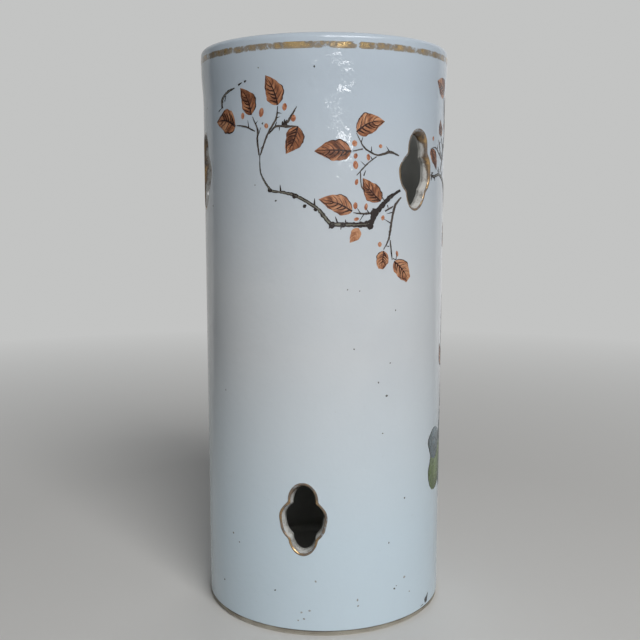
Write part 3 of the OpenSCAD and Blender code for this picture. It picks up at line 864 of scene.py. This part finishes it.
def build_rim_gilding():
    count = 2 * COLUMNS
    lines = []
    for k in range(GILT_ROWS + 1):
        v = k / GILT_ROWS
        lift = GILT_LIFT if 0 < k < GILT_ROWS else GILT_EDGE
        line = []
        for i in range(count):
            turn = 2 * pi * i / count
            arc = turn * BODY_R
            arc_near = arc - 2 * pi * BODY_R if arc > pi * BODY_R * BACK_SHARE else arc
            sway = RIM_SWAY * noise_at(arc * 0.09, 3.1, 0.0)
            z = RIM_GILT[0] + (RIM_GILT[1] - RIM_GILT[0]) * v + sway
            r = face_r(z)
            ragged = 0.16 + 0.24 * noise_at(arc * 0.7, 8.4, 4 * v)
            drift = RIM_DRIFT * noise_at(arc * 0.35, 5.7, 3 * v)
            worn = RIM_EDGE_WEAR * (1 - smooth_step(min(v, 1 - v) / max(ragged, 0.05)))
            mark = (v, 0.0, rim_tone(arc_near + drift) - worn)
            line.append((polar(r + lift, turn, z), polar(r - GILT_SINK, turn, z), outward(turn), mark))
        lines.append(line)
    return gilt_strip(lines)


build_rim_gilding().piece("rim_gilt_band", [rim_gold], "gilding", ["rim_gilding"])

# Where the gilding has run furthest into each vent, in radians from the right
SPILL_TURNS = [0.6, 0.87, 0.37, 0.52, 0.9, 2.8]
# How far the gilding reaches into the wall, more where it has run and at the top of a vent, whose brown
# there is partly painted shade
REACH, REACH_SPILL, REACH_TOP = 0.5, 0.3, 0.35
TOP_FROM, TOP_RUN = 0.30, 0.14
GOLD_TONE, SHADED_TOP_TONE, BARE_TONE = 0.68, 0.54, -0.12
GOLD_UNEVEN = 0.28
# Shares of the way in over which the gilding starts and ends
FADE_IN, FADE_OUT = 0.1, 0.3
# Steps of a vent's gilding: two on the face, then those through the wall that it reaches
GILT_STEPS = [(1.1, 0.0), (0.9, 0.0)] + REVEAL[:10]


def gilt_tone(index, height, spot, v):
    """How much gold is left at a place on a vent's gilding, a share of the way in from its outer edge."""
    x, up = spot
    # Painted shade over the worn gilding: at the top of a vent the gilt turns to brown stain without gold
    brown = smooth_step((up / height - TOP_FROM) / TOP_RUN)
    spill = max(0.0, cos(atan2(up, x) - SPILL_TURNS[index]))
    reach = REACH + REACH_SPILL * spill + REACH_TOP * brown
    fade = smooth_step(v / FADE_IN) * (1 - smooth_step((v - reach) / FADE_OUT))
    uneven = GOLD_UNEVEN * noise_at(x * 0.13, up * 0.13, index * 5.0)
    tone = (GOLD_TONE + uneven) * fade + BARE_TONE
    return tone + (SHADED_TOP_TONE * fade + BARE_TONE - tone) * brown


def build_vent_gilding(index, vent):
    """The gilt line that runs over one vent's edge and a little way into it."""
    _, turn_deg, z, height = vent
    turn = radians(turn_deg)
    last = len(GILT_STEPS) - 1
    lines = []
    for k, (grow, depth) in enumerate(GILT_STEPS):
        before, after = GILT_STEPS[max(k - 1, 0)], GILT_STEPS[min(k + 1, last)]
        run = Vector((after[0] - before[0], after[1] - before[1])).normalized()
        out = Vector((-run.y, run.x))
        if out.y > 0:
            out = -out
        lift = GILT_EDGE if k in (0, last) else GILT_LIFT
        v = k / (last - 1)
        sides = []
        for off in (lift, -GILT_SINK):
            radius = BODY_R - depth - out.y * off
            spots = vent_points(turn, z, cut_by_hand(index, height, grow + out.x * off), radius)
            sides.append([polar(radius, t, up) for t, up in spots])
        loop = cut_by_hand(index, height, grow)
        marks = [(v, grimy(depth), gilt_tone(index, height, spot, v)) for spot in loop]
        lines.append([(top, low, None, mark) for top, low, mark in zip(*sides, marks)])
    return gilt_strip(lines)


for index, vent in enumerate(VENTS):
    piece_name = vent[0].replace("gilding", "gilt_edge")
    build_vent_gilding(index, vent).piece(piece_name, [vent_gold], "gilding", [vent[0]])


# Painted enamels: how far washes, lines, the lines over them and the rims of washes stand off the glaze
WASH_LIFT = 0.07
LINE_LIFT = 0.10
LIGHT_LIFT = 0.12
EDGE_LIFT = 0.02
ROCK_STEP = 0.014
ROCK_LINE_LIFT = 0.007
SPECK_LIFT = 0.05
SPECK_EDGE = 0.01
# Shares of a stroke over which it swells at its start and thins at its end, and the pull of a curve's knots
TAPER_IN, TAPER_OUT = 0.2, 0.3
KNOT_PULL = 0.35


def spray(p):
    return (SPRAY_ARC + p[0], UPPER_Z + p[1])


def rock_place(p):
    return (ROCK_ARC + p[0], LOWER_Z + p[1])


def curve(points, step):
    """Points (arc, height, width) along a smooth curve through the given ones, about a step apart."""
    if len(points) == 2:
        a, b = points
        n = max(2, round(hypot(b[0] - a[0], b[1] - a[1]) / step))
        return [tuple(a[k] + (b[k] - a[k]) * i / n for k in range(3)) for i in range(n + 1)]
    made = []
    for i in range(len(points) - 1):
        p0 = points[max(i - 1, 0)]
        p1, p2 = points[i], points[i + 1]
        p3 = points[min(i + 2, len(points) - 1)]
        n = max(2, round(hypot(p2[0] - p1[0], p2[1] - p1[1]) / step))
        for j in range(n):
            made.append(tuple(between_knots(a, b, c, d, j / n) for a, b, c, d in zip(p0, p1, p2, p3)))
    made.append(tuple(points[-1]))
    return made


def between_knots(a, b, c, d, t):
    """A spline from b to c whose ends lean towards the knots before and after."""
    m1 = KNOT_PULL * (c - a)
    m2 = KNOT_PULL * (d - b)
    t2, t3 = t * t, t * t * t
    return (2 * t3 - 3 * t2 + 1) * b + (t3 - 2 * t2 + t) * m1 + (3 * t2 - 2 * t3) * c + (t3 - t2) * m2


def stroke(sheet, line, lift, tone, rough, ends, seed):
    """A brush stroke: a thin closed ribbon along (arc, height, width) points, narrower at its ends."""
    n = len(line)
    rows = []
    for i, (arc, z, width) in enumerate(line):
        a, b = line[max(i - 1, 0)], line[min(i + 1, n - 1)]
        run = Vector((b[0] - a[0], b[1] - a[1])).normalized()
        t = i / (n - 1)
        width = width * (ends[0] + (1 - ends[0]) * smooth_step(t / TAPER_IN))
        width = width * (ends[1] + (1 - ends[1]) * smooth_step((1 - t) / TAPER_OUT))
        left, right = (width / 2 * (1 + rough * noise_at(arc * 0.9, z * 0.9, seed + other))
                       for other in (0.0, 9.0))
        corners = []
        for side, up in ((left, 0.0), (left, lift), (-right, lift), (-right, 0.0)):
            x, y = arc - run.y * side, z + run.x * side
            mark = (t, 1.0 if side > 0 else -1.0, tone)
            corners.append(sheet.add(on_wall(x, y, up), wall_normal(x, y), mark))
        rows.append(corners)
    for a, b in zip(rows, rows[1:]):
        sheet.band(a, b)
    sheet.face(*reversed(rows[0]))
    sheet.face(*rows[-1])


def wash(sheet, spot, count, across, tones, lift, edge=EDGE_LIFT):
    """A thin closed wash, low at its rim: spot gives the place at a share along it and across it."""
    top, low = [], []
    for k in range(count + 1):
        t = k / count
        top.append([])
        low.append([])
        for i in range(across + 1):
            v = -1 + 2 * i / across
            arc, z = spot(t, v)
            normal = wall_normal(arc, z)
            mark = (t, v, tones[v > 0])
            rim = k in (0, count) or i in (0, across)
            top[-1].append(sheet.add(on_wall(arc, z, edge if rim else lift), normal, mark))
            low[-1].append(sheet.add(on_wall(arc, z, 0.0), normal, mark))
    for k in range(count):
        for i in range(across):
            sheet.face(top[k][i], top[k + 1][i], top[k + 1][i + 1], top[k][i + 1])
            sheet.face(low[k][i], low[k][i + 1], low[k + 1][i + 1], low[k + 1][i])
        sheet.face(low[k][0], low[k + 1][0], top[k + 1][0], top[k][0])
        sheet.face(low[k][-1], top[k][-1], top[k + 1][-1], low[k + 1][-1])
    for i in range(across):
        sheet.face(low[0][i], top[0][i], top[0][i + 1], low[0][i + 1])
        sheet.face(low[-1][i], low[-1][i + 1], top[-1][i + 1], top[-1][i])


class Leaf:
    """One painted leaf: places on it are (along from stalk to tip, across from -1 to 1)."""

    def __init__(self, stalk, tip, width, bend, seed, share):
        self.a, self.b = spray(stalk), spray(tip)
        self.width = width
        self.bend = bend
        self.seed = seed
        self.share = share
        run = Vector((self.b[0] - self.a[0], self.b[1] - self.a[1]))
        self.length = run.length
        self.run = run.normalized()

    def half(self, t, side):
        """Half width: fullest before the middle, with a slightly wavy edge."""
        t = min(max(t, 0.0), 1.0) * self.share
        body = sin(pi * t ** 0.72) ** 0.9
        wave = 1 + 0.05 * sin(15 * t + self.seed + side) + 0.03 * sin(31 * t + 2 * self.seed)
        return max(self.width / 2 * body * wave, 0.12)

    def spot(self, t, v):
        off = self.bend * self.length * sin(pi * t) + v * self.half(t, 1 if v > 0 else -1)
        return (self.a[0] + self.run.x * self.length * t - self.run.y * off,
                self.a[1] + self.run.y * self.length * t + self.run.x * off)

    def line(self, along, across, widths, count, swell=0.0):
        """Points of a line drawn on the leaf between two places, with its widths at both ends."""
        made = []
        for i in range(count + 1):
            f = i / count
            t = along[0] + (along[1] - along[0]) * f + swell * sin(pi * f)
            v = across[0] + (across[1] - across[0]) * f ** 0.85
            made.append((*self.spot(t, v), widths[0] + (widths[1] - widths[0]) * f))
        return made


LEAF_STEP = 0.6
LEAF_STEPS_MIN = 14
LEAF_ACROSS = 12
BLUNT_SHARE = 0.84
# Change of a leaf's tone on the side with the strong veins and on the other one
STRONG_TONE = 0.12
WEAK_TONE = -0.08
# Width of a leaf whose lines are as wide as they are given: on others they go with the leaf's width
USUAL_LEAF_W = 9


def build_leaves():
    washes, lines = Sheet(), Sheet()
    for k, (stalk, tip, width, bend, tone, strong) in enumerate(LEAVES):
        leaf = Leaf(stalk, tip, width, bend, k * 1.3, BLUNT_SHARE if k in BLUNT else 1.0)
        count = max(LEAF_STEPS_MIN, round(leaf.length / LEAF_STEP))
        shades = [tone + (STRONG_TONE if side * strong > 0 else WEAK_TONE) for side in (-1, 1)]
        wash(washes, leaf.spot, count, LEAF_ACROSS, shades, WASH_LIFT)
        if strong:
            leaf_lines(lines, leaf, tone, strong, k)
    return washes, lines


def leaf_lines(lines, leaf, tone, strong, k):
    """Midrib, side veins and the broken outline of one leaf."""
    size = leaf.width / USUAL_LEAF_W
    midrib = leaf.line((0.0, 0.94), (0, 0), (0.85 * size, 0.3 * size), 18)
    stroke(lines, midrib, LINE_LIFT, tone=0.75, rough=0.5, ends=(1, 0.4), seed=k)
    for side in (-1, 1):
        bold = side == strong
        count = 5 if bold else 4
        for i in range(count):
            t = 0.08 + 0.62 * (i + (0.0 if bold else 0.5)) / count
            reach = 0.74 + 0.14 * sin(2.1 * i + leaf.seed)
            wide = (0.85 if bold else 0.5) * size * (1.1 - 0.10 * i)
            vein = leaf.line((t, t + 0.2), (0.02 * side, reach * side), (wide, 0.28 * size), 7, -0.02)
            vein_tone = 0.8 if bold else 0.35
            stroke(lines, vein, LINE_LIFT, tone=vein_tone, rough=0.4, ends=(1, 0.3), seed=k + i)
    near = leaf.line((0.03, 0.62), (-0.97 * strong, -0.97 * strong), (0.55 * size, 0.35 * size), 16)
    stroke(lines, near, LINE_LIFT, tone=0.45 + 0.3 * tone, rough=0.8, ends=(0.3, 0.2), seed=k + 20)
    far = leaf.line((0.55, 0.99), (0.97 * strong, 0.5 * strong), (0.4 * size, 0.45 * size), 12)
    stroke(lines, far, LINE_LIFT, tone=0.6, rough=0.8, ends=(0.2, 0.5), seed=k + 30)


leaf_washes, leaf_strokes = build_leaves()
leaf_washes.piece("leaf_washes", [leaf_wash], "leaf", ["leaf_enamel"])
leaf_strokes.piece("leaf_lines", [vein_ink], "leaf")

# Lines wider than this are branches, with a stripe of lighter bark that is this share of their width
THICK_W = 1.3
BARK_SHARE = 0.42
# The first branch is dark at its broken end, for this share of its length
DARK_END = 0.25


def build_branches():
    dark, light = Sheet(), Sheet()
    for k, line in enumerate(BRANCHES):
        path = curve([(*spray(p), p[2]) for p in line], 0.7)
        thick = max(p[2] for p in line) > THICK_W
        tone = 0.75 if thick else 0.35
        stroke(dark, path, LINE_LIFT, tone, rough=0.55, ends=(0.8, 0.5), seed=k)
        if thick:
            core = [(a, z, w * BARK_SHARE) for a, z, w in path]
            first = 0 if k else round(len(core) * DARK_END)
            stroke(light, core[first:-2], LIGHT_LIFT, tone=0.3, rough=0.9, ends=(0.2, 0.2), seed=k + 40)
    for k, (foot, tip, width) in enumerate(THORNS):
        line = curve([(*spray(foot), width), (*spray(tip), width * 0.35)], 0.35)
        stroke(dark, line, LINE_LIFT, tone=0.8, rough=0.3, ends=(1, 0.6), seed=k + 80)
    for k, (a, b, width) in enumerate(KNOTS):
        line = curve([(*spray(a), width), (*spray(b), width)], 0.3)
        stroke(dark, line, LIGHT_LIFT, tone=0.9, rough=0.35, ends=(0.45, 0.45), seed=k + 150)
    return dark, light


branch_dark, branch_light = build_branches()
branch_dark.piece("branch_lines", [ink], "branch", ["branch_enamel"])
branch_light.piece("branch_bark", [bark], "branch")


def oval(middle, lean, length, width, power):
    """Places on a pointed oval about a middle, leaning from upright by an angle."""
    along = Vector((sin(lean), cos(lean)))

    def spot(t, v):
        half = max(width / 2 * sin(pi * t) ** power, 0.08)
        x = (t - 0.5) * length
        return (middle[0] + along.x * x - along.y * v * half, middle[1] + along.y * x + along.x * v * half)

    return spot


def build_buds():
    sheet = Sheet()
    for k, (middle, width, height, tone) in enumerate(BUDS):
        spot = oval(spray(middle), 0.25 * sin(2.3 * k), height, width, 0.5)
        wash(sheet, spot, 10, 8, (tone, tone), WASH_LIFT)
    return sheet


build_buds().piece("bud_washes", [bud_wash], "bud", ["bud_enamel"])

ROCK_ROWS = 28
ROCK_ACROSS = 16
ROCK_LINE_STEPS = 24
# Lines of a rock: distance in from its outline, width, tone
ROCK_LINES = [(0.0, 0.75, 0.7), (1.7, 0.5, 0.4), (3.6, 0.5, 0.4), (5.4, 0.5, 0.4)]


def boulder(t, width, seed, inset):
    """Half width of a painted rock at a share of its length, or of a line drawn inside its outline."""
    wave = 1 + 0.09 * sin(6 * t + seed) + 0.05 * sin(13 * t + 2 * seed)
    return max(width / 2 * sin(pi * t) ** 0.55 * wave - inset, 0.1)


def build_rocks():
    washes, lines = Sheet(), Sheet()
    for k, (low, high, width, tone) in enumerate(ROCKS):
        a, b = Vector(rock_place(low)), Vector(rock_place(high))
        along = (b - a).normalized()
        middle = (a + b) / 2
        length = (b - a).length
        lift = WASH_LIFT + ROCK_STEP * k

        def spot(t, v, inset=0.0):
            x = (t - 0.5) * (length - inset * 1.6)
            y = v * boulder(t, width, 1.7 * k + (0.6 if v > 0 else 0.0), inset)
            return (middle.x + along.x * x - along.y * y, middle.y + along.y * x + along.x * y)

        wash(washes, spot, ROCK_ROWS, ROCK_ACROSS, (tone, tone), lift)
        for inset, wide, line_tone in ROCK_LINES:
            for side in (-1, 1):
                shares = [0.03 + 0.94 * i / ROCK_LINE_STEPS for i in range(ROCK_LINE_STEPS + 1)]
                line = [(*spot(t, side, inset), wide) for t in shares]
                stroke(lines, line, lift + ROCK_LINE_LIFT, line_tone, rough=0.8, ends=(0.3, 0.3),
                       seed=k + inset)
    return washes, lines


rock_washes, rock_strokes = build_rocks()
rock_washes.piece("rock_washes", [rock_wash], "rock", ["rock_enamel"])
rock_strokes.piece("rock_lines", [rock_ink], "rock")

# The pointed firing flaw above the foot and the seam beside it: (arc, height, width) along each
FLAW = [(74.2, 8.5, 0.4), (73, 6.9, 1.7), (71.7, 5.4, 3.6), (70.9, 4.2, 2)]
SEAM = [(69, 4.2, 0.3), (67.6, 4, 0.6), (66, 3.9, 0.3)]


def build_specks():
    sheet = Sheet()
    for k, (arc, z, radius, tone) in enumerate(SPECKS):
        spot = oval((arc, z), 2.0 * sin(3.7 * k), 2.4 * radius, 1.8 * radius, 0.75)
        wash(sheet, spot, 6, 6, (tone, tone), SPECK_LIFT, SPECK_EDGE)
    stroke(sheet, curve(FLAW, 0.3), SPECK_LIFT, tone=1.0, rough=0.3, ends=(0.6, 0.6), seed=3.0)
    stroke(sheet, curve(SEAM, 0.4), SPECK_LIFT, tone=0.25, rough=0.5, ends=(0.3, 0.2), seed=4.0)
    return sheet


build_specks().piece("kiln_specks", [iron], "glaze")

# Solids that keep their shape and get new materials
SOLID_FINISHES = {"floor_disc": inside, "floor_fillet": slip, "floor_lute": slip, "foot_ring": biscuit}
for name, finish in SOLID_FINISHES.items():
    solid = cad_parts[name]
    solid.data.materials.clear()
    solid.data.materials.append(finish)

# Camera: turn to the right of the front in radians, other angles in degrees, places in metres
CAMERA_TURN = radians(9.3)
CAMERA_PAN = 0.248
CAMERA_TILT = 7.403
CAMERA_DISTANCE = 0.466
CAMERA_UP = 0.2047
CAMERA_LENS = 50.65
RIGHT = (cos(CAMERA_TURN), sin(CAMERA_TURN), 0.0)
AWAY = (-sin(CAMERA_TURN), cos(CAMERA_TURN), 0.0)

# What the glaze mirrors, with stripes behind the stand: where each starts and is full, its colour
BACKGROUND = (0.545, 0.550, 0.545)
FLOOR_COLOUR = (0.66, 0.655, 0.64)
ROOM_LEFT = (0.165, 0.163, 0.155)
ROOM_FRONT = (0.46, 0.475, 0.49)
ROOM_BEHIND = (0.48, 0.48, 0.47)
ROOM_STRIPES = [(-0.72, -0.80, (0.06, 0.06, 0.06)), (0.05, 0.2, (0.70, 0.71, 0.72)),
                (0.66, 0.76, (0.32, 0.33, 0.34))]
SKYLIGHT = (8.0, 8.2, 8.4)
# What lights the stand from all round, besides the lamps
WALLS_LEFT = (0.115, 0.113, 0.102)
WALLS_RIGHT = (0.21, 0.22, 0.23)
CEILING = (0.08, 0.085, 0.09)
# Radii in metres of the floor's rings, and those between which it fades into the background
FLOOR_RINGS = [0.3, 1.0, 12.0]
FLOOR_FADE = (0.25, 1.0)
FLOOR_SIDES = 64


def room(nodes, toward):
    """What the glaze mirrors in a direction: dark to the left of the stand, pale behind it."""
    side = nodes.share_along(toward, RIGHT)
    front = nodes.fade(side, -0.9, -0.2, ROOM_LEFT, ROOM_FRONT)
    back = ROOM_BEHIND
    for start, full, colour in ROOM_STRIPES:
        back = nodes.fade(side, start, full, back, colour)
    return nodes.fade(nodes.share_along(toward, AWAY), -0.05, 0.05, front, back)


def seen_rays(nodes):
    """Rays from the camera, and the same with those that are mirrored or pass through."""
    rays = nodes.node("ShaderNodeLightPath").outputs
    camera_ray = rays["Is Camera Ray"]
    return camera_ray, nodes.most(camera_ray, rays["Is Glossy Ray"], rays["Is Transmission Ray"])


def make_floor():
    """Pale floor that fades into the background, and into the room where it is mirrored."""
    made = bpy.data.materials.new("pale_floor")
    nodes = Nodes(made, "ShaderNodeOutputMaterial")
    at = nodes.node("ShaderNodeTexCoord").outputs["Object"]
    far = nodes.node("ShaderNodeVectorMath", {0: at}, operation="LENGTH").outputs["Value"]
    toward = nodes.node("ShaderNodeVectorMath", {0: at}, operation="NORMALIZE").outputs["Vector"]
    camera_ray, seen = seen_rays(nodes)
    shade = nodes.node("ShaderNodeBsdfDiffuse", {"Color": FLOOR_COLOUR})
    shown = nodes.blend(camera_ray, room(nodes, toward), BACKGROUND)
    glow = nodes.node("ShaderNodeEmission", {"Color": shown})
    fade = nodes.times(nodes.span(far, *FLOOR_FADE), seen)
    nodes.show(nodes.node("ShaderNodeMixShader", {0: fade, 1: shade.outputs[0], 2: glow.outputs[0]}))
    return made


def build_floor():
    n = FLOOR_SIDES
    points = [(0.0, 0.0, 0.0)]
    for r in FLOOR_RINGS:
        turns = [2 * pi * i / n for i in range(n)]
        points += [(r * cos(a), r * sin(a), 0.0) for a in turns]
    faces = []
    for i in range(n):
        j = (i + 1) % n
        faces.append((0, 1 + i, 1 + j))
        for a in range(1, 1 + (len(FLOOR_RINGS) - 1) * n, n):
            faces.append((a + i, a + n + i, a + n + j, a + j))
    mesh = bpy.data.meshes.new("floor")
    mesh.from_pydata(points, [], faces)
    mesh.materials.append(make_floor())
    put("floor", mesh)


def build_world():
    """Dim walls light the stand, and the glaze mirrors the room with a skylight."""
    world = bpy.data.worlds.new("studio")
    bpy.context.scene.world = world
    nodes = Nodes(world, "ShaderNodeOutputWorld")
    camera_ray, seen = seen_rays(nodes)
    toward = nodes.node("ShaderNodeTexCoord").outputs["Generated"]
    up = nodes.node("ShaderNodeSeparateXYZ", {"Vector": toward}).outputs["Z"]
    side = nodes.share_along(toward, RIGHT)
    away = nodes.share_along(toward, AWAY)
    walls = nodes.fade(side, -0.8, 0.6, WALLS_LEFT, WALLS_RIGHT)
    ambient = nodes.fade(up, 0.05, 0.75, walls, CEILING)
    low = nodes.node("ShaderNodeBackground", {"Color": ambient})
    skylight_edges = [(up, 0.35, 0.39), (up, 0.70, 0.64), (side, -0.08, 0.04), (side, 0.76, 0.52),
                      (away, 0.2, 0.0)]
    skylight = nodes.times(*(nodes.span(*edge) for edge in skylight_edges))
    mirror = nodes.blend(skylight, room(nodes, toward), SKYLIGHT)
    high = nodes.node("ShaderNodeBackground", {"Color": nodes.blend(camera_ray, mirror, BACKGROUND)})
    nodes.show(nodes.node("ShaderNodeMixShader", {0: seen, 1: low.outputs[0], 2: high.outputs[0]}))


def from_camera(turn_deg, distance, height):
    """A place round the stand, by its turn to the right of the camera's line."""
    a = CAMERA_TURN + radians(turn_deg)
    return Vector((distance * sin(a), -distance * cos(a), height))


def lamp(name, at, aim, size, power, colour=(1.0, 1.0, 1.0), mirrored=False):
    data = bpy.data.lights.new(name, "AREA")
    data.shape = "RECTANGLE"
    data.size, data.size_y = size
    data.energy = power
    data.color = colour
    obj = put(name, data)
    obj.location = at
    obj.rotation_euler = (Vector(aim) - Vector(at)).to_track_quat("-Z", "Y").to_euler()
    obj.visible_glossy = mirrored


# Panes of the window that glints in the glaze: turn to the right, height, width, depth, power
PANES = [
    (18.5, 0.303, 0.28, 0.018, 0.22), (10.3, 0.432, 0.16, 0.014, 0.085), (3.5, 0.402, 0.10, 0.010, 0.035),
    (10.8, 0.350, 0.20, 0.009, 0.035), (-7.5, 0.346, 0.05, 0.006, 0.008),
]
PANE_DISTANCE = 1.26
# Points on the stand's axis that the lamps and the panes face
LAMP_AIM = (0, 0, 0.14)
PANE_AIM = (0, 0, 0.25)

build_floor()
build_world()
lamp("key", from_camera(19.5, 1.5, 1.25), LAMP_AIM, (0.9, 0.9), 25.5, (1.0, 0.985, 0.97))
lamp("back", from_camera(170, 1.8, 1.2), LAMP_AIM, (1.2, 1.2), 8.0)
for turn_right, pane_up, wide, tall, power in PANES:
    pane_at = from_camera(turn_right, PANE_DISTANCE, pane_up)
    lamp("pane", pane_at, PANE_AIM, (wide, tall), power, mirrored=True)

camera_data = bpy.data.cameras.new("camera")
camera_data.sensor_width = 36.0
camera_data.lens = CAMERA_LENS
camera = put("camera", camera_data)
turn = Matrix.Rotation(CAMERA_TURN, 4, "Z") @ Matrix.Rotation(radians(CAMERA_PAN), 4, "Z")
tilt = Matrix.Rotation(radians(90 - CAMERA_TILT), 4, "X")
camera.matrix_world = Matrix.Translation(from_camera(0, CAMERA_DISTANCE, CAMERA_UP)) @ turn @ tilt
bpy.context.scene.camera = camera
bpy.context.scene.view_settings.view_transform = "Standard"
